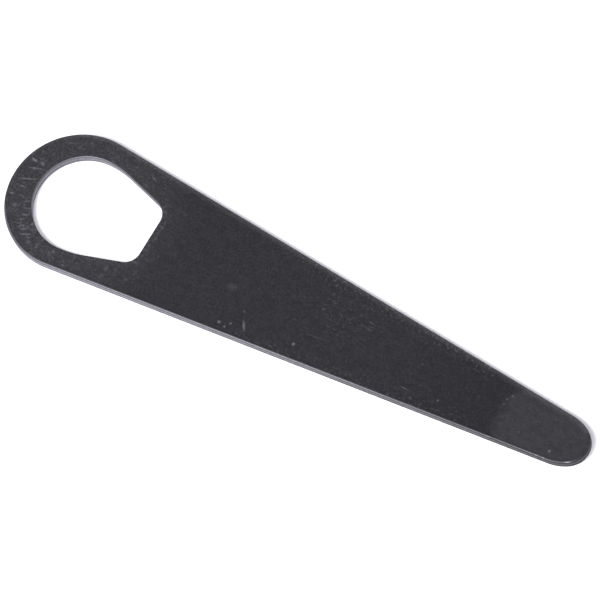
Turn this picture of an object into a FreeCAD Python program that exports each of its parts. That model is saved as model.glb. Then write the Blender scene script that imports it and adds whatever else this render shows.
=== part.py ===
import FreeCAD, Part
import math
import os

import Sketcher

# A flat bar-blade bottle opener: one blanked steel plate with a wide round head, an
# eye that catches a crown cap, and a handle that tapers to a small rounded nose.
#
# The plate is drawn about the centre of its head, with the handle along +X. The body's
# Placement then moves it so that the origin is at the middle of its underside.
# Z = 0 is the underside and +Z the show face.

SHEET_NAME = "Sizes"
PLATE_NODE = "opener_plate"

# alias, value in mm or degrees, what it is
DRIVING_SIZES = (
    ("overall_length", 177.8, "head end to nose end"),
    ("plate_thickness", 2.5, "gauge of the sheet"),
    ("head_radius", 19.6, "outside of the round head"),
    ("nose_radius", 6.2, "very end of the handle"),
    ("nose_half_angle", 60.0, "reach of the nose arc each side of the centre line"),
    ("shoulder_radius", 13.1, "easier arcs from the nose into the straight sides"),
    ("eye_offset", 1.75, "eye's round end ahead of the head's centre"),
    ("eye_end_radius", 13.55, "eye's half-round end"),
    ("eye_blend_radius", 27.2, "arcs from the round end into the straight flanks"),
    ("lip_distance", 22.9, "head's centre to the straight lip"),
    ("lip_width", 16.9, "lip between the flanks, before its corners are rounded"),
    ("eye_corner_radius", 4.3, "the two corners of the lip"),
    ("rolled_edge_radius", 0.45, "die roll round the show face"),
    ("deburred_edge_radius", 0.2, "broken edge round the underside"),
)

START, END, CENTRE = 1, 2, 3
X_AXIS = -1
ORIGIN_POINT = (-1, 1)
LENGTH_TOLERANCE = 1e-4


def cell(alias):
    """The name by which an expression reads one of the sheet's cells."""
    return f"{SHEET_NAME}.{alias}"


def make_sheet(doc):
    """Write every driving size to the spreadsheet, one row each."""
    sheet = doc.addObject("Spreadsheet::Sheet", SHEET_NAME)
    for row, (alias, value, meaning) in enumerate(DRIVING_SIZES, start=1):
        sheet.set(f"A{row}", meaning)
        sheet.set(f"B{row}", str(value))
        sheet.setAlias(f"B{row}", alias)
    doc.recompute()
    return sheet


def origin_plane(body, role):
    """The body's own origin plane with this role, such as XY_Plane."""
    for feature in body.Origin.OriginFeatures:
        if feature.Role == role:
            return feature
    raise ValueError(f"{body.Label} has no plane {role}")


def new_sketch(body, name):
    """An empty sketch on the body's XY plane, which is the plate's underside."""
    sketch = body.newObject("Sketcher::SketchObject", name)
    sketch.AttachmentSupport = [(origin_plane(body, "XY_Plane"), "")]
    sketch.MapMode = "FlatFace"
    return sketch


def relate(sketch, *terms):
    """Add a geometric constraint, such as a tangency."""
    sketch.addConstraint(Sketcher.Constraint(*terms))


def dimension(sketch, name, expression, *terms):
    """Add a dimension and bind it to an expression of the sheet's cells."""
    index = sketch.addConstraint(Sketcher.Constraint(*terms))
    sketch.renameConstraint(index, name)
    sketch.setExpression(f"Constraints.{name}", expression)


def arc(centre_x, centre_y, radius, start_degrees, end_degrees):
    """An arc that runs anticlockwise, as a first guess for the sketch's solver."""
    circle = Part.Circle(FreeCAD.Vector(centre_x, centre_y, 0), FreeCAD.Vector(0, 0, 1), radius)
    return Part.ArcOfCircle(circle, math.radians(start_degrees), math.radians(end_degrees))


def line(start, end):
    """A straight edge between two points of the sketch plane."""
    return Part.LineSegment(FreeCAD.Vector(*start, 0), FreeCAD.Vector(*end, 0))


def draw_outline(body, sheet):
    """The plate's edge: round head, two straight tapering sides and a three-arc nose."""
    sketch = new_sketch(body, "Outline")
    nose_x = sheet.overall_length - sheet.head_radius - sheet.nose_radius
    side_x = nose_x - sheet.nose_radius
    head_y = sheet.head_radius
    nose_y = sheet.nose_radius
    drop = sheet.shoulder_radius - sheet.nose_radius
    half = sheet.nose_half_angle
    straight_side = 85.0

    head = sketch.addGeometry(arc(0, 0, sheet.head_radius, straight_side, 360 - straight_side))
    lower_side = sketch.addGeometry(line((0, -head_y), (side_x, -nose_y)))
    lower_shoulder = sketch.addGeometry(
        arc(side_x, drop, sheet.shoulder_radius, -straight_side, -half)
    )
    nose = sketch.addGeometry(arc(nose_x, 0, sheet.nose_radius, -half, half))
    upper_shoulder = sketch.addGeometry(
        arc(side_x, -drop, sheet.shoulder_radius, half, straight_side)
    )
    upper_side = sketch.addGeometry(line((side_x, nose_y), (0, head_y)))

    loop = (head, lower_side, lower_shoulder, nose, upper_shoulder, upper_side)
    for edge, following in zip(loop, loop[1:] + loop[:1]):
        relate(sketch, "Tangent", edge, END, following, START)
    relate(sketch, "Coincident", head, CENTRE, *ORIGIN_POINT)
    relate(sketch, "PointOnObject", nose, CENTRE, X_AXIS)
    relate(sketch, "Vertical", nose, START, nose, END)
    relate(sketch, "Equal", upper_shoulder, lower_shoulder)

    dimension(sketch, "HeadRadius", cell("head_radius"), "Radius", head, sheet.head_radius)
    dimension(sketch, "NoseRadius", cell("nose_radius"), "Radius", nose, sheet.nose_radius)
    dimension(
        sketch, "ShoulderRadius", cell("shoulder_radius"),
        "Radius", lower_shoulder, sheet.shoulder_radius,
    )
    dimension(
        sketch, "NosePlace",
        f"{cell('overall_length')} - {cell('head_radius')} - {cell('nose_radius')}",
        "DistanceX", *ORIGIN_POINT, nose, CENTRE, nose_x,
    )
    dimension(
        sketch, "NoseSpan", f"2 * {cell('nose_half_angle')} * 1 deg",
        "Angle", nose, math.radians(2 * half),
    )
    return sketch


def draw_eye(body, sheet):
    """The opening: half-round end, two blend arcs, two straight flanks and the lip."""
    sketch = new_sketch(body, "Eye")
    end_x = sheet.eye_offset
    end_radius = sheet.eye_end_radius
    blend_radius = sheet.eye_blend_radius
    blend_drop = blend_radius - end_radius
    blend_end = 75.0
    reach = math.radians(blend_end)
    flank_x = end_x + blend_radius * math.cos(reach)
    flank_y = blend_radius * math.sin(reach) - blend_drop
    lip_x = sheet.lip_distance
    lip_y = sheet.lip_width / 2

    round_end = sketch.addGeometry(arc(end_x, 0, end_radius, 90, 270))
    lower_blend = sketch.addGeometry(arc(end_x, blend_drop, blend_radius, 270, 360 - blend_end))
    lower_flank = sketch.addGeometry(line((flank_x, -flank_y), (lip_x, -lip_y)))
    lip = sketch.addGeometry(line((lip_x, -lip_y), (lip_x, lip_y)))
    upper_flank = sketch.addGeometry(line((lip_x, lip_y), (flank_x, flank_y)))
    upper_blend = sketch.addGeometry(arc(end_x, -blend_drop, blend_radius, blend_end, 90))

    relate(sketch, "Tangent", round_end, END, lower_blend, START)
    relate(sketch, "Tangent", lower_blend, END, lower_flank, START)
    relate(sketch, "Coincident", lower_flank, END, lip, START)
    relate(sketch, "Coincident", lip, END, upper_flank, START)
    relate(sketch, "Tangent", upper_flank, END, upper_blend, START)
    relate(sketch, "Tangent", upper_blend, END, round_end, START)
    relate(sketch, "PointOnObject", round_end, CENTRE, X_AXIS)
    relate(sketch, "Vertical", round_end, START, round_end, CENTRE)
    relate(sketch, "Vertical", round_end, CENTRE, round_end, END)
    relate(sketch, "Equal", upper_blend, lower_blend)
    relate(sketch, "Symmetric", lip, START, lip, END, X_AXIS)

    dimension(
        sketch, "EndPlace", cell("eye_offset"),
        "DistanceX", *ORIGIN_POINT, round_end, CENTRE, end_x,
    )
    dimension(sketch, "EndRadius", cell("eye_end_radius"), "Radius", round_end, end_radius)
    dimension(
        sketch, "BlendRadius", cell("eye_blend_radius"), "Radius", lower_blend, blend_radius
    )
    dimension(
        sketch, "LipPlace", cell("lip_distance"), "DistanceX", *ORIGIN_POINT, lip, START, lip_x
    )
    dimension(
        sketch, "LipWidth", cell("lip_width"), "DistanceY", lip, START, lip, END, 2 * lip_y
    )
    return sketch


def edge_names(shape, wanted):
    """The names of a shape's edges that pass a test."""
    return [
        f"Edge{number}"
        for number, edge in enumerate(shape.Edges, start=1)
        if wanted(edge)
    ]


def lies_at_height(height):
    """A test for edges that lie wholly in one horizontal plane."""

    def test(edge):
        box = edge.BoundBox
        return abs(box.ZMin - height) < LENGTH_TOLERANCE and abs(box.ZMax - height) < LENGTH_TOLERANCE

    return test


def stands_at(x, half_width):
    """A test for the two upright edges at the corners of the lip."""

    def test(edge):
        box = edge.BoundBox
        upright = box.ZLength > LENGTH_TOLERANCE and box.XLength < LENGTH_TOLERANCE
        at_lip = abs(box.XMin - x) < LENGTH_TOLERANCE
        at_corner = abs(abs(box.YMin) - half_width) < LENGTH_TOLERANCE
        return upright and at_lip and at_corner

    return test


def round_edges(body, name, radius_alias, wanted):
    """Round the edges of the body's last feature that pass a test."""
    base = body.Tip
    names = edge_names(base.Shape, wanted)
    if not names:
        raise ValueError(f"{name} found no edges")
    fillet = body.newObject("PartDesign::Fillet", name)
    fillet.Base = (base, names)
    fillet.setExpression("Radius", cell(radius_alias))
    body.Tip = fillet
    return fillet


def make_plate(doc, sheet):
    """Blank the plate, pierce its eye, then roll and deburr its edges."""
    body = doc.addObject("PartDesign::Body", "Plate")
    body.Label = PLATE_NODE

    blank = body.newObject("PartDesign::Pad", "Blank")
    blank.Profile = draw_outline(body, sheet)
    blank.setExpression("Length", cell("plate_thickness"))
    doc.recompute()
    blank_volume = blank.Shape.Volume

    pierced = body.newObject("PartDesign::Pocket", "PiercedEye")
    pierced.Profile = draw_eye(body, sheet)
    pierced.Type = "ThroughAll"
    pierced.Reversed = True
    doc.recompute()
    if pierced.Shape.Volume > blank_volume - LENGTH_TOLERANCE:
        raise ValueError("the eye cuts nothing")

    at_corners = stands_at(sheet.lip_distance, sheet.lip_width / 2)
    round_edges(body, "LipCorners", "eye_corner_radius", at_corners)
    doc.recompute()
    on_show_face = lies_at_height(sheet.plate_thickness)
    round_edges(body, "RolledEdge", "rolled_edge_radius", on_show_face)
    doc.recompute()
    on_underside = lies_at_height(0.0)
    round_edges(body, "DeburredEdge", "deburred_edge_radius", on_underside)

    body.setExpression(
        "Placement.Base.x", f"{cell('head_radius')} - {cell('overall_length')} / 2"
    )
    return body


def check_document(doc):
    """Stop if any object failed to compute, or any sketch is left loose."""
    doc.recompute()
    for item in doc.Objects:
        if "Invalid" in item.State or "Error" in item.State:
            raise ValueError(f"{item.Label} failed: {item.State}")
        if item.TypeId == "Sketcher::SketchObject":
            freedoms = item.solve()
            if freedoms != 0 or not item.FullyConstrained:
                raise ValueError(f"{item.Label} isn't fully constrained")


def write_parts(bodies):
    """Check each sub-part's shape, then write it to a STEP file named by its label."""
    for body in bodies:
        if body.Shape.isNull() or not body.Shape.isValid():
            raise ValueError(f"{body.Label} has no valid shape")
    os.makedirs("parts", exist_ok=True)
    for body in bodies:
        body.Shape.exportStep(os.path.join("parts", f"{body.Label}.step"))


def main():
    doc = FreeCAD.newDocument("BottleOpener")
    sheet = make_sheet(doc)
    plate = make_plate(doc, sheet)
    check_document(doc)
    write_parts([plate])
    box = plate.Shape.optimalBoundingBox(False, False)
    print(f"{plate.Label}: {box.XLength:.2f} x {box.YLength:.2f} x {box.ZLength:.2f} mm")
    print(f"solids {len(plate.Shape.Solids)}, volume {plate.Shape.Volume:.1f} mm3")


main()
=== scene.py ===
import math

import bmesh
import bpy
import numpy as np
from mathutils import Matrix, Vector, geometry, noise


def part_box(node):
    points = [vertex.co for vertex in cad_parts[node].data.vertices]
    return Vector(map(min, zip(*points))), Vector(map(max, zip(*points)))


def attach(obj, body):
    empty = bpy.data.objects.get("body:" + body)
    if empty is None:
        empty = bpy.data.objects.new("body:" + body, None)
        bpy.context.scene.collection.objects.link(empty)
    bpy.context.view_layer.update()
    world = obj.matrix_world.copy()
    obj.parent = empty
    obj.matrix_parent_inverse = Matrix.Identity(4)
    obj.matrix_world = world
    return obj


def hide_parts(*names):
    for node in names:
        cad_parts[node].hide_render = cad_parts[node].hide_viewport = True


# The looks of a flat bar-blade bottle opener: one blanked, blackened steel plate lying on
# a white table. Lengths are in metres, in the same frame as the CAD: the origin is at the
# middle of the underside, +X runs from the head to the nose and +Z is the show face.

MM = 0.001

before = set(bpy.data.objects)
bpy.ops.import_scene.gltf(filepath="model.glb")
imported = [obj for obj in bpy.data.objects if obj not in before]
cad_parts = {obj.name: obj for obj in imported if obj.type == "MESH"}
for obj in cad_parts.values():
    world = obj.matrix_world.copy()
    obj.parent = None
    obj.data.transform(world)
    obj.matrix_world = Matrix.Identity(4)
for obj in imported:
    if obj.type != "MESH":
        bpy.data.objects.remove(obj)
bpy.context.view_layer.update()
PLATE_LOW, PLATE_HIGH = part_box("opener_plate")

# The plate, from the frame's box and the sizes that the box doesn't give.
THICKNESS = PLATE_HIGH.z - PLATE_LOW.z
HEAD_RADIUS = (PLATE_HIGH.y - PLATE_LOW.y) / 2
HEAD_X = PLATE_LOW.x + HEAD_RADIUS
NOSE_RADIUS = 6.2 * MM
NOSE_X = PLATE_HIGH.x - NOSE_RADIUS
NOSE_HALF_ANGLE = math.radians(60)
SHOULDER_RADIUS = 13.1 * MM
EYE_OFFSET = 1.75 * MM
EYE_END_RADIUS = 13.55 * MM
EYE_BLEND_RADIUS = 27.2 * MM
LIP_DISTANCE = 22.9 * MM
LIP_HALF_WIDTH = 8.45 * MM
EYE_CORNER_RADIUS = 4.3 * MM
ROLL_RADIUS = 0.45 * MM
DEBURR_RADIUS = 0.2 * MM

# How finely the surfaces are divided. The insets are the rings on the flat faces, by their
# distance from the edge. The torn rows are depths, as shares of the torn zone. Triangles
# of a flat face are joined into quads up to the two join limits.
LOOP_SPACING = 0.35 * MM
GRID_SPACING = 1.3 * MM
GRID_CLEARANCE = 0.6 * GRID_SPACING
FACE_INSETS = (1.6 * MM, 1.0 * MM, 0.65 * MM)
UNDERSIDE_INSETS = (0.65 * MM, 1.6 * MM)
ROLL_STEPS = 8
DEBURR_STEPS = 4
TORN_ROWS = (0.12, 0.35, 0.6, 0.85, 1.0)
SAME_POINT = 1e-9
JOIN_FACE_ANGLE = 0.1
JOIN_SHAPE_ANGLE = 0.6

# The sheared wall: a smooth land under the roll, then a slightly set-back torn zone. The
# roll and the land's lower end wander a little along the edge. The torn zone's ripples
# grow longer, and their seed moves on, from its top to its foot.
LAND_DEPTH = 0.75 * MM
LAND_WANDER = 0.16 * MM
LAND_WAVE = 3 * MM
ROLL_WANDER = 0.10
ROLL_WAVE = 6 * MM
TORN_SET_BACK = 0.045 * MM
TORN_ROUGHNESS = 0.018 * MM
TORN_WAVE = 0.5 * MM
TORN_WAVE_GROWTH = 0.4 * MM
ROLL_SEED = 3.1
LAND_SEED = 7.7
TORN_SEED = 11.3
TORN_SEED_STEP = 5

# The camera, at the photograph's viewing angle: a long lens, high up on the nose's side.
CAMERA_AZIMUTH = math.radians(51.70)
CAMERA_ELEVATION = math.radians(64.18)
CAMERA_ROLL = math.radians(22.70)
CAMERA_DISTANCE = 2.877
CAMERA_LENS = 657.9
SENSOR_WIDTH = 36.0
AIM_X = -3.97 * MM
AIM_RIGHT = 3.47 * MM
AIM_UP = 1.90 * MM
CLIP_START = 0.05
CLIP_END = 20.0

# The table under the opener.
TABLE_HALF_SIDE = 3.0
TABLE_CELLS = 8
TABLE_GAP = 0.02 * MM
TABLE_COLOUR = (0.9, 0.9, 0.92, 1)

# The white surroundings, and the softboxes: each one's place, the point it looks at, its
# side, its power in watts and its colour.
STUDIO_COLOUR = (0.95, 0.95, 1.0, 1)
STUDIO_STRENGTH = 0.85
SOFTBOXES = {
    "key": ((-0.20, -0.38, 0.64), (-0.05, 0, 0), 0.32, 6.0, (1, 1, 1)),
    "fill": ((0.16, -0.34, 0.42), (0.03, 0, 0), 0.35, 1.2, (0.95, 0.96, 1.0)),
}

# From here to the outlines, lengths are in millimetres, as the material counts them.

# How large the patterns in the finish are, and where most values of a noise lie.
NOISE_SPREAD = (0.3, 0.7)
DRIFT_SIZE = 5.0
RAGGED_SIZE = 1.6
GRAIN_SIZE = 0.62
CLOUD_SIZE = 2.2
DRAW_SIZE = 0.55
PATCH_SIZE = 6.0
FLECK_SIZE = 0.85
WHIRL_SIZE = 1.9
SPREAD_SIZE = 2.3
LINE_SIZE = 0.28
BEAD_SIZE = 1.8

# The directions in plan that the side near the camera faces, and that the rolls with a painted
# reflection face.
NEAR_DIRECTION = (0.6, -0.8)
REFLECTING_ROLL_DIRECTION = (0.75, -0.66)

# The skin's paler zones: where each one begins and where it is full, as distances from the
# head's and the nose's centres.
RING_ZONE = (35.0, 16.0)
NOSE_ZONE = (22.4, 18.0)

# Spots that handling has marked: the middle, where the marks begin and where they are full.
SCUFFED_SPOT = ((-78.0, -11.0, 0), 16.0, 7.0)
POCKED_SPOT = ((13.0, 6.0, 0), 12.0, 5.0)

# Where along X each change in the finish begins and where it is full. The stretches of the walls,
# of the roll and foot highlights, of the beads and of the tip place painted light and shade as
# well.
SHADE_STRETCH = (28.0, 58.0)
LIP_STRETCH = (-50.0, -46.0)
SPECKLE_START = (-20.0, 0.0)
SPECKLE_END = (62.0, 50.0)
WEAR_STRETCH = (-84.0, -74.0)
WALL_STRETCH = (90.0, -75.0)
NOSE_WALL_STRETCH = (60.0, 68.0)
ROLL_HIGHLIGHT_STRETCH = (-60.0, 55.0)
FOOT_HIGHLIGHT_STRETCH = (40.0, -20.0)
DULLED_STRETCH = (-60.0, 60.0)
BEAD_STRETCH = (58.0, 74.0)
TIP_STRETCH = (84.0, 87.0)

# How far from an edge each kind of wear, and the near roll's painted reflection, begins and where
# it is full, and the two ends of the narrow bands that follow the edge.
LIP_DEPTH = (2.8, 1.0)
SPECKLE_DEPTH = (5.0, 1.2)
WEAR_DEPTH = (2.0, 0.2)
RIM_DEPTH = (0.8, 0.4)
NEAR_ROLL_REFLECTION_DEPTH = (0.66, 0.36)
LINE_BAND = (0.75, 1.1)
GROOVE_BAND = (1.15, 1.5)
BEAD_BAND = (0.16, 0.42)

# Heights over the underside between which a change takes place.
SHOW_FACE_LEVELS = (1.4, 2.2)
TORN_LEVELS = (1.30, 1.10)
FOOT_LEVELS = (0.7, 0.15)
TIP_LEVELS = (1.0, 1.7)

# How light the skin is, and how much each zone and kind of mark adds, as linear grey.
SKIN_TONE = 0.0097
RING_TONE = 0.0091
NOSE_TONE = 0.0110
SHADE_TONE = -0.0027
BARE_TONE = 0.034
WEAR_TONE = 0.0165
SPECKLE_TONE = 0.0190

# How light the worn walls are at the nose's end and at the head's end, as linear grey: the steel's
# own tone with painted light by the head and painted shade by the nose.
WALL_TONES = (0.036, 0.160)

# Tints of the skin where it is dark and where it is pale, of bare steel and of the beads, which
# are partly painted glints.
DARK_TINT = (0.99, 0.95, 1.26)
PALE_TINT = (0.99, 0.96, 1.10)
STEEL_TINT = (0.97, 0.96, 1.10)
BEAD_GLINT_COLOUR = (0.30, 0.30, 0.33, 1)

# A scratch fades out between these multiples of its half width, a nick between these
# multiples of its width. Marks are placed in plan, so their depth is as good as endless.
SCRATCH_FADE = (1.2, 0.3)
NICK_FADE = (0.6, 0.15)
MARK_DEPTH = 1000

# Scratches on the show face: start, end, width and how light each one is.
SCRATCHES = (
    # At the head's end.
    ((-87.0, 5.5), (-84.5, 5.0), 0.8, 0.9),
    ((-84.0, 5.5), (-82.5, 5.0), 1.0, 0.7),
    ((-86.5, 2.5), (-82.0, 4.0), 0.6, 0.55),
    ((-87.5, -1.5), (-81.5, 1.0), 0.6, 0.7),
    ((-85.5, -3.0), (-84.0, -2.5), 0.8, 0.45),
    ((-87.0, -6.0), (-85.5, -5.5), 0.6, 0.8),
    ((-85.5, -5.5), (-82.5, -5.0), 0.4, 0.35),
    ((-82.0, -6.5), (-80.5, -5.5), 0.6, 0.55),
    ((-81.5, -8.0), (-79.0, -7.5), 0.5, 0.45),
    ((-80.5, -10.0), (-78.5, -9.0), 0.6, 0.55),
    ((-80.5, -11.5), (-79.0, -10.5), 0.5, 0.45),
    ((-79.5, -13.0), (-78.0, -12.0), 0.6, 0.7),
    ((-79.0, -14.0), (-76.5, -12.5), 0.5, 0.55),
    ((-78.0, -15.0), (-75.0, -13.5), 0.6, 0.7),
    ((-82.0, 13.0), (-76.5, 15.0), 0.3, 0.25),
    # Along the blade.
    ((-11.5, -9.0), (-9.5, -12.0), 0.8, 0.8),
    ((5.0, -5.0), (13.0, -4.0), 0.3, 0.3),
    ((35.0, -6.5), (38.5, -6.5), 0.3, 0.65),
    ((18.5, 5.5), (21.0, 5.5), 0.3, 0.3),
    ((19.0, 4.5), (21.5, 4.5), 0.3, 0.3),
    ((18.5, 3.5), (21.0, 3.5), 0.3, 0.25),
    ((5.5, 3.0), (6.5, 3.5), 0.6, 0.5),
    # Wide, faint smudges: one on the blade, the others round the eye.
    ((-21.0, -2.5), (-17.0, -2.0), 2.4, 0.15),
    ((-44.0, -9.5), (-45.0, -12.0), 0.9, 0.15),
    ((-45.0, -12.5), (-46.5, -14.5), 0.9, 0.15),
    ((-52.0, -12.0), (-52.0, -14.0), 1.1, 0.25),
    ((-51.5, -14.5), (-52.5, -16.0), 1.3, 0.25),
    ((-68.5, -14.5), (-66.5, -15.5), 0.9, 0.25),
    ((-67.0, -16.5), (-66.0, -17.0), 0.7, 0.3),
    ((-64.0, -16.5), (-63.0, -16.5), 0.5, 0.35),
    ((-75.5, -15.5), (-73.5, -16.5), 1.5, 0.2),
    ((-55.0, 15.5), (-53.0, 14.5), 0.5, 0.35),
    ((-56.0, 12.5), (-53.5, 12.0), 0.7, 0.25),
)

# Small nicks on the show face: place, width and how light each one is.
NICKS = (
    ((-76.5, -11.0), 0.9, 0.9),
    ((-17.0, -12.5), 1.0, 1.0),
    ((-15.0, -13.0), 0.8, 0.7),
    ((-14.0, -11.5), 0.8, 0.7),
    ((-12.5, -7.0), 0.8, 0.5),
    ((4.0, -9.0), 1.0, 1.0),
    ((-54.0, 15.0), 0.6, 0.5),
    ((-63.0, -17.5), 0.6, 0.6),
    ((8.0, 6.0), 0.6, 0.3),
    ((17.5, 9.0), 0.6, 0.3),
    ((37.5, 1.5), 0.6, 0.5),
    ((46.5, -5.5), 0.7, 0.6),
    ((63.5, 4.5), 0.8, 0.6),
    ((62.5, 3.0), 0.7, 0.6),
    ((62.5, 1.5), 0.6, 0.5),
    ((70.0, -3.5), 0.7, 0.4),
    ((80.0, -4.5), 0.9, 0.8),
    ((77.0, 4.0), 0.7, 0.3),
)


# ---------------------------------------------------------------- outlines

def sample_arc(centre, radius, start, end, outward):
    """Points and outward normals along an arc, without its last point."""
    count = max(2, int(round(abs(end - start) * radius / LOOP_SPACING)))
    angles = np.linspace(start, end, count, endpoint=False)
    radial = np.column_stack((np.cos(angles), np.sin(angles)))
    return np.asarray(centre) + radius * radial, radial * outward


def sample_line(start, end):
    """Points and right-hand normals along a straight edge, without its last point."""
    start, end = np.asarray(start), np.asarray(end)
    run = end - start
    span = float(np.hypot(*run))
    count = max(2, int(round(span / LOOP_SPACING)))
    steps = np.linspace(0.0, 1.0, count, endpoint=False)[:, None]
    normal = np.array([run[1], -run[0]]) / span
    return start + steps * run, np.repeat(normal[None, :], count, axis=0)


def joined(pieces):
    """One closed loop of points and normals from its pieces."""
    points = np.vstack([p for p, _ in pieces])
    normals = np.vstack([n for _, n in pieces])
    return points, normals


def on_circle(centre, radius, angle):
    """The point of a circle at an angle."""
    return np.asarray(centre) + radius * np.array([math.cos(angle), math.sin(angle)])


def outline_loop():
    """The plate's edge, anticlockwise, with normals that point away from the metal."""
    shift = SHOULDER_RADIUS - NOSE_RADIUS
    upper = np.array([
        NOSE_X - HEAD_X - shift * math.cos(NOSE_HALF_ANGLE),
        -shift * math.sin(NOSE_HALF_ANGLE),
    ])
    side = math.atan2(upper[1], upper[0]) + math.acos(
        (HEAD_RADIUS - SHOULDER_RADIUS) / float(np.hypot(*upper))
    )
    head = np.array([HEAD_X, 0.0])
    upper = upper + head
    lower = upper * [1, -1]
    return joined([
        sample_arc((NOSE_X, 0.0), NOSE_RADIUS, -NOSE_HALF_ANGLE, NOSE_HALF_ANGLE, 1),
        sample_arc(upper, SHOULDER_RADIUS, NOSE_HALF_ANGLE, side, 1),
        sample_line(on_circle(upper, SHOULDER_RADIUS, side), on_circle(head, HEAD_RADIUS, side)),
        sample_arc(head, HEAD_RADIUS, side, 2 * math.pi - side, 1),
        sample_line(on_circle(head, HEAD_RADIUS, -side), on_circle(lower, SHOULDER_RADIUS, -side)),
        sample_arc(lower, SHOULDER_RADIUS, -side, -NOSE_HALF_ANGLE, 1),
    ])


def eye_loop():
    """The eye's edge, clockwise, so its normals too point away from the metal."""
    end = np.array([HEAD_X + EYE_OFFSET, 0.0])
    corner = np.array([HEAD_X + LIP_DISTANCE, LIP_HALF_WIDTH])
    blend = end - [0.0, EYE_BLEND_RADIUS - EYE_END_RADIUS]
    to_corner = corner - blend
    flank = math.atan2(to_corner[1], to_corner[0]) + math.acos(
        EYE_BLEND_RADIUS / float(np.hypot(*to_corner))
    )
    touch = on_circle(blend, EYE_BLEND_RADIUS, flank)
    reach = EYE_CORNER_RADIUS * math.tan(flank / 2)
    along_flank = (touch - corner) / float(np.hypot(*(touch - corner)))
    flank_end = corner + along_flank * reach
    lip_end = corner - [0.0, reach]
    middle = lip_end - [EYE_CORNER_RADIUS, 0.0]
    return joined([
        sample_arc(end, EYE_END_RADIUS, 1.5 * math.pi, 0.5 * math.pi, -1),
        sample_arc(blend, EYE_BLEND_RADIUS, 0.5 * math.pi, flank, -1),
        sample_line(touch, flank_end),
        sample_arc(middle, EYE_CORNER_RADIUS, flank, 0.0, -1),
        sample_line(lip_end, lip_end * [1, -1]),
        sample_arc(middle * [1, -1], EYE_CORNER_RADIUS, 0.0, -flank, -1),
        sample_line(flank_end * [1, -1], touch * [1, -1]),
        sample_arc(blend * [1, -1], EYE_BLEND_RADIUS, -flank, -0.5 * math.pi, -1),
    ])


# ---------------------------------------------------------------- the plate's mesh

def wander(points, wavelength, seed):
    """Smooth noise from -1 to 1 at each point of a loop."""
    scale = 1.0 / wavelength
    return np.array([
        noise.noise(Vector((x * scale, y * scale, seed)))
        for x, y in points
    ])


def edge_rows(points):
    """(inset, height) of each row of the rim, from the show face round to the underside."""
    ones = np.ones(len(points))
    roll = ROLL_RADIUS * (1 + ROLL_WANDER * wander(points, ROLL_WAVE, ROLL_SEED))
    land_end = (
        THICKNESS - ROLL_RADIUS - LAND_DEPTH + LAND_WANDER * wander(points, LAND_WAVE, LAND_SEED)
    )
    rows = [(inset * ones, THICKNESS * ones) for inset in FACE_INSETS]
    for step in range(ROLL_STEPS + 1):
        turn = 0.5 * math.pi * step / ROLL_STEPS
        rows.append((roll * (1 - math.sin(turn)), THICKNESS - roll * (1 - math.cos(turn))))
    top = THICKNESS - roll
    rows.append((0 * ones, top + (land_end - top) * 0.5))
    rows.append((0 * ones, land_end))
    for share in TORN_ROWS:
        height = land_end + (DEBURR_RADIUS - land_end) * share
        wave = TORN_WAVE + TORN_WAVE_GROWTH * share
        torn = wander(points, wave, TORN_SEED + TORN_SEED_STEP * share)
        inset = TORN_SET_BACK * min(1.0, 0.5 + share) + TORN_ROUGHNESS * torn
        rows.append((np.maximum(inset, 0), height))
    last = rows[-1][0]
    for step in range(1, DEBURR_STEPS + 1):
        turn = 0.5 * math.pi * step / DEBURR_STEPS
        inset = last + DEBURR_RADIUS * (1 - math.cos(turn))
        rows.append((inset, DEBURR_RADIUS * (1 - math.sin(turn)) * ones))
    rows += [(inset * ones, 0 * ones) for inset in UNDERSIDE_INSETS]
    return rows


def inside(points, loop):
    """Which points lie inside a closed loop, by counting the edges each one is left of."""
    x, y = points[:, 0:1], points[:, 1:2]
    ax, ay = loop[None, :, 0], loop[None, :, 1]
    bx, by = np.roll(ax, -1, axis=1), np.roll(ay, -1, axis=1)
    crosses = (ay > y) != (by > y)
    run = np.where(by == ay, 1.0, by - ay)
    left = x < (bx - ax) * (y - ay) / run + ax
    return (crosses & left).sum(axis=1) % 2 == 1


def add_rim(mesh, points, normals, layer):
    """The rows of one rim as a strip of quads. Returns its first and last ring."""
    rings = []
    for inset, height in edge_rows(points):
        place = points - normals * inset[:, None]
        ring = [
            mesh.verts.new((x, y, z + PLATE_LOW.z))
            for (x, y), z in zip(place, height)
        ]
        for vertex, distance in zip(ring, inset):
            vertex[layer] = distance / MM
        rings.append(ring)
    count = len(points)
    for upper, lower in zip(rings, rings[1:]):
        for here in range(count):
            there = (here + 1) % count
            mesh.faces.new((upper[here], lower[here], lower[there], upper[there]))
    return rings[0], rings[-1]


def nearest(points, loop):
    """The distance from each point to the nearest point of a loop."""
    return np.array([np.hypot(*(loop - p).T).min() for p in points])


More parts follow.
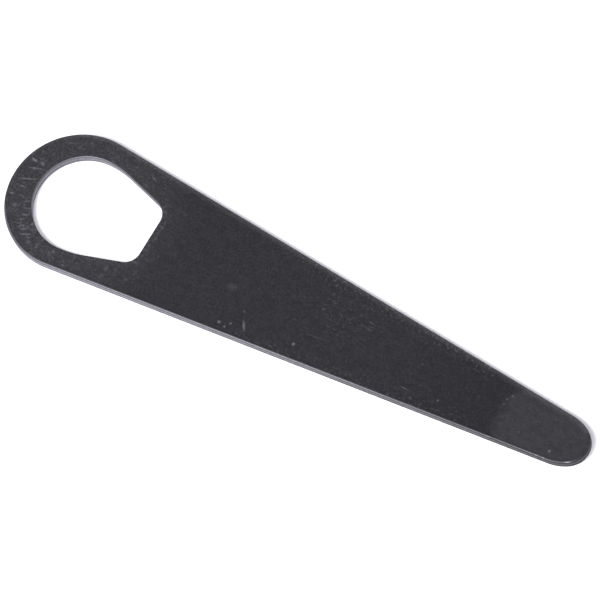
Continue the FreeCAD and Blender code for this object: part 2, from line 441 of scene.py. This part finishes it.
def add_face(mesh, outer_ring, eye_ring, height, upward, layers):
    """A flat face between two rings, on a square grid joined to the rings by triangles."""
    outer = np.array([v.co[:2] for v in outer_ring])
    eye = np.array([v.co[:2] for v in eye_ring])
    low, high = outer.min(axis=0), outer.max(axis=0)
    grid = np.array([
        (x, y)
        for x in np.arange(low[0], high[0], GRID_SPACING)
        for y in np.arange(0.5 * GRID_SPACING - HEAD_RADIUS, HEAD_RADIUS, GRID_SPACING)
    ])
    grid = grid[inside(grid, outer) & ~inside(grid, eye)]
    gaps = np.column_stack((nearest(grid, outer), nearest(grid, eye)))
    clear = gaps.min(axis=1) > GRID_CLEARANCE
    grid, gaps = grid[clear], gaps[clear]
    flat = np.vstack([outer, eye, grid])
    edges = [(i, (i + 1) % len(outer)) for i in range(len(outer))]
    edges += [
        (len(outer) + i, len(outer) + (i + 1) % len(eye))
        for i in range(len(eye))
    ]
    _, _, faces, *_ = geometry.delaunay_2d_cdt(
        [Vector(p) for p in flat], edges, [], 0, SAME_POINT
    )
    verts = list(outer_ring) + list(eye_ring)
    for (x, y), gap in zip(grid, gaps):
        vertex = mesh.verts.new((x, y, height))
        for layer, distance in zip(layers, gap):
            vertex[layer] = (distance + FACE_INSETS[0]) / MM
        verts.append(vertex)
    centres = np.array([flat[list(face)].mean(axis=0) for face in faces])
    kept = inside(centres, outer) & ~inside(centres, eye)
    made = []
    for face, keep in zip(faces, kept):
        if keep:
            order = face if upward else face[::-1]
            made.append(mesh.faces.new([verts[i] for i in order]))
    bmesh.ops.join_triangles(
        mesh,
        faces=made,
        angle_face_threshold=JOIN_FACE_ANGLE,
        angle_shape_threshold=JOIN_SHAPE_ANGLE,
    )


def build_plate():
    """The whole opener as one closed mesh, with each point's distance to both edges."""
    mesh = bmesh.new()
    outer_layer = mesh.verts.layers.float.new("outer_inset")
    eye_layer = mesh.verts.layers.float.new("eye_inset")
    outline, eye = outline_loop(), eye_loop()
    outer_top, outer_bottom = add_rim(mesh, *outline, outer_layer)
    outer_rim = list(mesh.verts)
    eye_top, eye_bottom = add_rim(mesh, *eye, eye_layer)
    eye_rim = list(mesh.verts)[len(outer_rim):]
    for rim, layer, loop in ((outer_rim, eye_layer, eye[0]), (eye_rim, outer_layer, outline[0])):
        for vertex, gap in zip(rim, nearest(np.array([v.co[:2] for v in rim]), loop)):
            vertex[layer] = gap / MM
    layers = (outer_layer, eye_layer)
    add_face(mesh, outer_top, eye_top, PLATE_HIGH.z, True, layers)
    add_face(mesh, outer_bottom, eye_bottom, PLATE_LOW.z, False, layers)
    bmesh.ops.recalc_face_normals(mesh, faces=mesh.faces)
    data = bpy.data.meshes.new("opener_blade")
    mesh.to_mesh(data)
    mesh.free()
    for polygon in data.polygons:
        polygon.use_smooth = True
    plate = bpy.data.objects.new("opener_blade", data)
    bpy.context.scene.collection.objects.link(plate)
    return plate


# ---------------------------------------------------------------- materials

class Nodes:
    """A short way to write a material's node tree."""

    def __init__(self, name):
        self.material = bpy.data.materials.new(name)
        self.material.use_nodes = True
        self.tree = self.material.node_tree
        self.tree.nodes.clear()

    def put(self, socket, value):
        """Link a socket to another one's value, or set it."""
        if isinstance(value, bpy.types.NodeSocket):
            self.tree.links.new(value, socket)
        else:
            socket.default_value = value

    def add(self, kind, inputs=None, **settings):
        """Add a node, set its properties, and link or set its inputs."""
        node = self.tree.nodes.new(kind)
        for key, value in settings.items():
            setattr(node, key, value)
        for key, value in (inputs or {}).items():
            self.put(node.inputs[key], value)
        return node

    def math(self, operation, a, b=0.0, clamp=False):
        """A math node's result."""
        node = self.add("ShaderNodeMath", {0: a, 1: b}, operation=operation, use_clamp=clamp)
        return node.outputs[0]

    def plus(self, *values):
        """The sum of several values."""
        total = values[0]
        for value in values[1:]:
            total = self.math("ADD", total, value)
        return total

    def times(self, *values):
        """The product of several values."""
        total = values[0]
        for value in values[1:]:
            total = self.math("MULTIPLY", total, value)
        return total

    def fade(self, value, start, end, low=0.0, high=1.0):
        """A smooth ramp from low at start to high at end."""
        node = self.add(
            "ShaderNodeMapRange",
            {"Value": value, "From Min": start, "From Max": end, "To Min": low, "To Max": high},
            interpolation_type="SMOOTHSTEP",
        )
        return node.outputs["Result"]

    def band(self, value, low, high, soft):
        """One between low and high, and zero outside, with soft ends."""
        rise = self.fade(value, low - soft, low + soft)
        fall = self.fade(value, high - soft, high + soft, 1.0, 0.0)
        return self.times(rise, fall)

    def stretch(self, place, scale, turn=0.0):
        """The place turned about Z and scaled."""
        node = self.add(
            "ShaderNodeMapping", {"Vector": place, "Rotation": (0, 0, turn), "Scale": scale}
        )
        return node.outputs[0]

    def noise(self, place, size, detail=2.0, roughness=0.5, distortion=0.0):
        """Noise from 0 to 1 whose largest features are about size across."""
        node = self.add(
            "ShaderNodeTexNoise",
            {
                "Vector": place, "Scale": 1.0 / size, "Detail": detail,
                "Roughness": roughness, "Distortion": distortion,
            },
        )
        return node.outputs["Fac"]

    def reach(self, place, centre):
        """The distance from a point, in the plane of the plate."""
        flat = self.add("ShaderNodeVectorMath", {0: place, 1: (1, 1, 0)}, operation="MULTIPLY")
        node = self.add(
            "ShaderNodeVectorMath", {0: flat.outputs[0], 1: centre}, operation="DISTANCE"
        )
        return node.outputs["Value"]

    def mix(self, share, a, b):
        """A blend of two colours."""
        node = self.add("ShaderNodeMix", data_type="RGBA")
        for index, value in ((0, share), (6, a), (7, b)):
            self.put(node.inputs[index], value)
        return node.outputs[2]

    def tint(self, tone, colour):
        """A colour times a tone."""
        node = self.add("ShaderNodeVectorMath", {0: colour, "Scale": tone}, operation="SCALE")
        return node.outputs[0]

    def finish(self, inputs):
        """The shader and the material's output."""
        shader = self.add("ShaderNodeBsdfPrincipled", inputs)
        self.add("ShaderNodeOutputMaterial", {"Surface": shader.outputs[0]})


def scratched(nodes, place):
    """How much each point is scratched or nicked, from 0 to 1."""
    total = 0.0
    for start, end, width, strength in SCRATCHES:
        start, end = Vector(start), Vector(end)
        run = end - start
        middle = (start + end) / 2
        local = nodes.add(
            "ShaderNodeMapping",
            {
                "Vector": place, "Location": (middle.x, middle.y, 0),
                "Rotation": (0, 0, math.atan2(run.y, run.x)),
                "Scale": (run.length / 2, width / 2, MARK_DEPTH),
            },
            vector_type="TEXTURE",
        )
        away = nodes.add(
            "ShaderNodeVectorMath", {0: local.outputs[0]}, operation="LENGTH"
        ).outputs["Value"]
        total = nodes.plus(total, nodes.fade(away, *SCRATCH_FADE, 0.0, strength))
    for (x, y), width, strength in NICKS:
        away = nodes.reach(place, (x, y, 0))
        begins, full = (share * width for share in NICK_FADE)
        total = nodes.plus(total, nodes.fade(away, begins, full, 0.0, strength))
    return total


class Surface:
    """What the finish has to know about each point of the plate."""

    def __init__(self, nodes):
        texture = nodes.add("ShaderNodeTexCoord")
        self.place = nodes.stretch(texture.outputs["Object"], (1 / MM, 1 / MM, 1 / MM))
        self.x, self.y, self.z = nodes.add("ShaderNodeSeparateXYZ", {0: self.place}).outputs
        normal = nodes.add("ShaderNodeSeparateXYZ", {0: texture.outputs["Normal"]}).outputs
        self.normal_x, self.normal_y, self.up = normal
        self.outer = nodes.add("ShaderNodeAttribute", attribute_name="outer_inset").outputs["Fac"]
        self.eye = nodes.add("ShaderNodeAttribute", attribute_name="eye_inset").outputs["Fac"]
        self.find_sides(nodes)
        self.add_patterns(nodes)
        self.find_zones(nodes)
        self.marks = nodes.times(
            scratched(nodes, self.place),
            nodes.fade(self.z, *SHOW_FACE_LEVELS),
            nodes.fade(self.grain, 0.25, 0.6, 0.6, 1.1),
        )

    def find_sides(self, nodes):
        """The side of the outline that faces the camera, and the side that faces away."""
        along = nodes.math("MINIMUM", nodes.math("MAXIMUM", self.x, HEAD_X / MM), NOSE_X / MM)
        lean = nodes.math("SUBTRACT", self.x, along)
        away = nodes.math(
            "SQRT", nodes.plus(nodes.times(lean, lean), nodes.times(self.y, self.y))
        )
        toward_x, toward_y = NEAR_DIRECTION
        toward = nodes.plus(nodes.times(lean, toward_x), nodes.times(self.y, toward_y))
        facing = nodes.math("DIVIDE", toward, away)
        self.near_side = nodes.fade(facing, -0.20, 0.08)
        self.far_side = nodes.fade(facing, -0.10, -0.35)

    def add_patterns(self, nodes):
        """The random patterns that more than one part of the finish uses."""
        self.drift = nodes.noise(self.place, DRIFT_SIZE, 2.0)
        self.grain = nodes.noise(self.place, GRAIN_SIZE, 2.5, 0.55)
        self.draw = nodes.noise(nodes.stretch(self.place, (0.10, 1.0, 1.0)), DRAW_SIZE, 2.0)
        self.fleck = nodes.noise(self.place, FLECK_SIZE, 1.0, 0.4)
        self.lines = nodes.noise(nodes.stretch(self.place, (1.0, 1.0, 0.08)), LINE_SIZE, 2.0)

    def find_zones(self, nodes):
        """The paler ring round the eye, the paler nose with its ragged border, and the torn
        part of the sheared wall."""
        self.ring = nodes.fade(nodes.reach(self.place, (HEAD_X / MM, 0, 0)), *RING_ZONE)
        ragged = nodes.noise(self.place, RAGGED_SIZE, 2.0, 0.6)
        from_nose = nodes.plus(
            nodes.reach(self.place, (NOSE_X / MM, 0, 0)),
            nodes.fade(self.drift, 0.2, 0.8, -1.4, 1.4),
            nodes.fade(ragged, *NOISE_SPREAD, -0.7, 0.7),
        )
        self.nose = nodes.fade(from_nose, *NOSE_ZONE)
        level = nodes.plus(self.z, nodes.fade(self.drift, *NOISE_SPREAD, -0.2, 0.2))
        self.torn = nodes.fade(level, *TORN_LEVELS)


def grained_skin(nodes, at):
    """The skin's tone: its zones, and the grain of the sheet under it."""
    tone = nodes.plus(
        SKIN_TONE,
        nodes.times(at.ring, RING_TONE),
        nodes.times(nodes.fade(at.x, *SHADE_STRETCH), SHADE_TONE),
        nodes.times(at.nose, NOSE_TONE),
    )
    calm = nodes.plus(1.0, nodes.times(at.nose, -0.5))
    cloud = nodes.noise(at.place, CLOUD_SIZE, 2.0, 0.6)
    return nodes.times(
        tone,
        nodes.plus(1.0, nodes.times(nodes.fade(at.grain, *NOISE_SPREAD, -0.32, 0.34), calm)),
        nodes.fade(cloud, *NOISE_SPREAD, 0.84, 1.17),
        nodes.fade(at.draw, *NOISE_SPREAD, 0.93, 1.07),
    )


def curved_scuffs(nodes, at):
    """Short curved scuffs, most of them round the eye."""
    whirl = nodes.noise(at.place, WHIRL_SIZE, 1.0, 0.5, 0.9)
    ridge = nodes.fade(nodes.math("ABSOLUTE", nodes.math("SUBTRACT", whirl, 0.5)), 0.040, 0.008)
    spread = nodes.fade(nodes.noise(at.place, SPREAD_SIZE, 1.0), 0.46, 0.58)
    middle, begins, full = SCUFFED_SPOT
    handled = nodes.fade(nodes.reach(at.place, middle), begins, full)
    many = nodes.plus(0.06, nodes.times(at.ring, 0.35), nodes.times(handled, 0.40))
    return nodes.times(ridge, spread, many)


def bare_spots(nodes, at):
    """How much bare steel shows: scratches, scuffs, flecks and the lip's worn edge."""
    patch = nodes.noise(at.place, PATCH_SIZE, 1.0)
    busy = nodes.plus(0.38, nodes.times(at.ring, 0.42), nodes.times(at.nose, -0.2))
    flecks = nodes.times(nodes.fade(at.fleck, 0.62, 0.76), nodes.fade(patch, 0.35, 0.6), busy)
    lip = nodes.times(
        nodes.fade(at.eye, *LIP_DEPTH),
        nodes.fade(at.x, *LIP_STRETCH),
        nodes.fade(at.fleck, 0.42, 0.62),
    )
    return nodes.plus(
        nodes.times(at.marks, 2.0),
        curved_scuffs(nodes, at),
        nodes.times(flecks, 0.7),
        nodes.times(lip, 0.45),
    )


def edge_speckle(nodes, at):
    """Pale specks along the blade's edges and on the pocked spot."""
    tumbled = nodes.times(nodes.fade(at.x, *SPECKLE_START), nodes.fade(at.x, *SPECKLE_END))
    edged = nodes.times(
        nodes.fade(at.outer, *SPECKLE_DEPTH),
        nodes.plus(at.far_side, nodes.times(at.near_side, 0.65)),
    )
    middle, begins, full = POCKED_SPOT
    pocked = nodes.times(nodes.fade(nodes.reach(at.place, middle), begins, full), 0.5)
    share = nodes.math("MAXIMUM", nodes.times(edged, tumbled), pocked)
    return nodes.times(share, nodes.fade(at.fleck, 0.54, 0.70))


def rim_wear(nodes, at):
    """The far rim of the show face, which is worn pale."""
    return nodes.times(
        nodes.plus(
            nodes.fade(at.outer, *WEAR_DEPTH), nodes.fade(at.outer, *RIM_DEPTH, 0.0, 0.4)
        ),
        at.far_side,
        nodes.fade(at.x, *WEAR_STRETCH, 0.3, 1.0),
        nodes.fade(at.grain, 0.3, 0.6, 0.6, 1.2),
    )


def rim_lines(nodes, at):
    """Dark lines just inside the rim: one on the near side, a fainter one round the head."""
    line = nodes.times(nodes.band(at.outer, *LINE_BAND, 0.2), at.near_side)
    groove = nodes.times(nodes.band(at.outer, *GROOVE_BAND, 0.2), at.far_side, at.ring)
    return nodes.times(
        nodes.fade(line, 0.0, 1.0, 1.0, 0.80), nodes.fade(groove, 0.0, 1.0, 1.0, 0.75)
    )


def skin_tone(nodes, at):
    """How light the skin of the faces is, with all its marks."""
    tone = nodes.plus(
        grained_skin(nodes, at),
        nodes.times(bare_spots(nodes, at), BARE_TONE),
        nodes.times(rim_wear(nodes, at), WEAR_TONE),
        nodes.times(edge_speckle(nodes, at), SPECKLE_TONE),
    )
    return nodes.times(tone, rim_lines(nodes, at))


def bare_wall_and_reflection_share(nodes, at):
    """Where the steel shows through the skin: the sheared walls, bare all round, and the rolls
    that face the camera, which carry a painted reflection. The top of the nose's tip is left dark
    as painted shade, and the underside stays skin."""
    # The rolls that face this way, and the near side's roll, are painted pale as a reflection.
    toward_x, toward_y = REFLECTING_ROLL_DIRECTION
    reflecting = nodes.plus(nodes.times(at.normal_x, toward_x), nodes.times(at.normal_y, toward_y))
    wall = nodes.math("MAXIMUM", nodes.fade(at.up, 0.45, 0.15), nodes.fade(reflecting, 0.05, 0.35))
    near_roll = nodes.times(nodes.fade(at.outer, *NEAR_ROLL_REFLECTION_DEPTH), at.near_side)
    wall = nodes.math("MAXIMUM", wall, near_roll)
    # Painted shade: the top of the nose's tip keeps the dark skin.
    tip = nodes.times(nodes.fade(at.x, *TIP_STRETCH), nodes.fade(at.z, *TIP_LEVELS))
    return nodes.times(wall, nodes.fade(at.up, -0.95, -0.4), nodes.math("SUBTRACT", 1.0, tip))


def wall_tone(nodes, at):
    """How light the walls are: most by the head, least by the nose and in the torn zone. The fall
    along X is partly the steel's own tone and partly painted light from the key by the head and
    painted shade by the nose. The roll gets a painted highlight that is weak by the head and
    strong towards the nose, and the wall's foot a painted highlight towards the head.
    """
    # Painted highlight along the roll, weak by the head and strong towards the nose.
    roll_highlight = nodes.times(
        nodes.fade(at.up, 0.05, 0.5), nodes.fade(at.x, *ROLL_HIGHLIGHT_STRETCH, -0.30, 0.25)
    )
    # Painted highlight on the wall's foot, where the deburred edge catches the light, towards the
    # head.
    foot_highlight = nodes.times(
        nodes.fade(at.z, *FOOT_LEVELS), nodes.fade(at.x, *FOOT_HIGHLIGHT_STRETCH, 0.0, 0.7)
    )
    dulled = nodes.times(at.torn, nodes.fade(at.x, *DULLED_STRETCH, 0.34, 0.60))
    return nodes.times(
        # Painted light by the head and painted shade by the nose, on the steel's own tone.
        nodes.fade(at.x, *WALL_STRETCH, *WALL_TONES),
        nodes.fade(at.x, *NOSE_WALL_STRETCH, 1.0, 0.70),
        nodes.plus(1.0, roll_highlight),
        nodes.fade(at.lines, *NOISE_SPREAD, 0.82, 1.14),
        nodes.math("SUBTRACT", 1.0, dulled),
        nodes.plus(1.0, foot_highlight),
    )


def rolled_beads_and_glints(nodes, at):
    """Bright beads on the near side's rolled edge towards the nose: steel rubbed through, with
    painted glints of the roll's highlight.
    """
    roll = nodes.times(
        nodes.band(at.outer, *BEAD_BAND, 0.08),
        nodes.fade(at.y, -2.0, -4.5),
        nodes.fade(at.x, *BEAD_STRETCH),
    )
    strings = nodes.fade(nodes.noise(at.place, BEAD_SIZE, 1.0), 0.50, 0.68, 0.12, 0.7)
    return nodes.times(roll, strings)


def base_colour(nodes, at, wall, beads):
    """The skin's colour, the worn wall's with its painted light and shade, and the beads' with
    their painted glints, on top of each other.
    """
    tone = skin_tone(nodes, at)
    paler = nodes.fade(tone, 0.008, 0.020)
    skin = nodes.mix(paler, nodes.tint(tone, DARK_TINT), nodes.tint(tone, PALE_TINT))
    steel = nodes.tint(wall_tone(nodes, at), STEEL_TINT)
    return nodes.mix(beads, nodes.mix(wall, skin, steel), BEAD_GLINT_COLOUR)


def blackened_steel():
    """Blackened sheet steel: a dark satin skin, scuffed round the eye, and sheared edges that are
    worn paler, with painted highlights, reflection and shade on the edges."""
    nodes = Nodes("blackened_steel")
    at = Surface(nodes)
    wall = bare_wall_and_reflection_share(nodes, at)
    beads = rolled_beads_and_glints(nodes, at)
    metal = nodes.plus(
        nodes.times(wall, nodes.fade(at.torn, 0.0, 1.0, 0.50, 0.18)), nodes.times(beads, 0.4)
    )
    rough = nodes.plus(
        nodes.fade(at.grain, *NOISE_SPREAD, 0.37, 0.45),
        nodes.times(at.torn, wall, 0.12),
        nodes.times(beads, -0.12),
    )
    height = nodes.plus(
        nodes.times(at.grain, 0.6), nodes.times(at.draw, 0.4), nodes.times(at.lines, wall, 0.8),
        nodes.times(at.marks, -0.5),
    )
    bump = nodes.add(
        "ShaderNodeBump", {"Height": height, "Strength": 0.35, "Distance": 0.02 * MM}
    )
    nodes.finish(
        {
            "Base Color": base_colour(nodes, at, wall, beads), "Metallic": metal,
            "Roughness": rough, "IOR": 1.45, "Specular IOR Level": 0.28,
            "Normal": bump.outputs[0],
        }
    )
    return nodes.material


def white_table():
    """The plain pale floor."""
    nodes = Nodes("white_table")
    nodes.finish({"Base Color": TABLE_COLOUR, "Roughness": 0.7})
    return nodes.material


# ---------------------------------------------------------------- stage, camera, light

def build_floor(material):
    """A plain table just under the opener."""
    mesh = bmesh.new()
    bmesh.ops.create_grid(
        mesh, x_segments=TABLE_CELLS, y_segments=TABLE_CELLS, size=TABLE_HALF_SIDE
    )
    data = bpy.data.meshes.new("table_top")
    mesh.to_mesh(data)
    mesh.free()
    data.materials.append(material)
    floor = bpy.data.objects.new("table_top", data)
    floor.location.z = PLATE_LOW.z - TABLE_GAP
    bpy.context.scene.collection.objects.link(floor)


def camera_axes():
    """The camera's right, up and back directions."""
    flat = Vector((math.sin(CAMERA_AZIMUTH), -math.cos(CAMERA_AZIMUTH), 0))
    back = flat * math.cos(CAMERA_ELEVATION) + Vector((0, 0, math.sin(CAMERA_ELEVATION)))
    level = Vector((math.cos(CAMERA_AZIMUTH), math.sin(CAMERA_AZIMUTH), 0))
    plumb = back.cross(level)
    right = level * math.cos(CAMERA_ROLL) - plumb * math.sin(CAMERA_ROLL)
    up = level * math.sin(CAMERA_ROLL) + plumb * math.cos(CAMERA_ROLL)
    return right, up, back


def place_camera():
    """The photograph's view."""
    right, up, back = camera_axes()
    data = bpy.data.cameras.new("camera")
    data.lens = CAMERA_LENS
    data.sensor_width = SENSOR_WIDTH
    data.clip_start = CLIP_START
    data.clip_end = CLIP_END
    camera = bpy.data.objects.new("camera", data)
    target = Vector((AIM_X, 0, 0)) + right * AIM_RIGHT + up * AIM_UP
    place = target + back * CAMERA_DISTANCE
    turn = Matrix((right, up, back)).transposed().to_4x4()
    camera.matrix_world = Matrix.Translation(place) @ turn
    bpy.context.scene.collection.objects.link(camera)
    bpy.context.scene.camera = camera


def add_softbox(name, place, target, side, power, colour):
    """A square area light that looks at a point and doesn't show in the picture."""
    data = bpy.data.lights.new(name, "AREA")
    data.shape = "SQUARE"
    data.size = side
    data.energy = power
    data.color = colour
    light = bpy.data.objects.new(name, data)
    light.location = place
    light.rotation_mode = "QUATERNION"
    light.rotation_quaternion = (Vector(target) - Vector(place)).to_track_quat("-Z", "Y")
    light.visible_camera = False
    bpy.context.scene.collection.objects.link(light)


def light_studio():
    """Even white surroundings, a key at the head's near side and a weaker fill."""
    world = bpy.data.worlds.new("studio")
    world.use_nodes = True
    surround = world.node_tree.nodes["Background"]
    surround.inputs["Color"].default_value = STUDIO_COLOUR
    surround.inputs["Strength"].default_value = STUDIO_STRENGTH
    bpy.context.scene.world = world
    for name, settings in SOFTBOXES.items():
        add_softbox(name, *settings)


plate = build_plate()
plate.data.materials.append(blackened_steel())
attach(plate, "root")
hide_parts("opener_plate")

build_floor(white_table())
place_camera()
light_studio()
scene = bpy.context.scene
scene.view_settings.view_transform = "Standard"
scene.view_settings.look = "None"
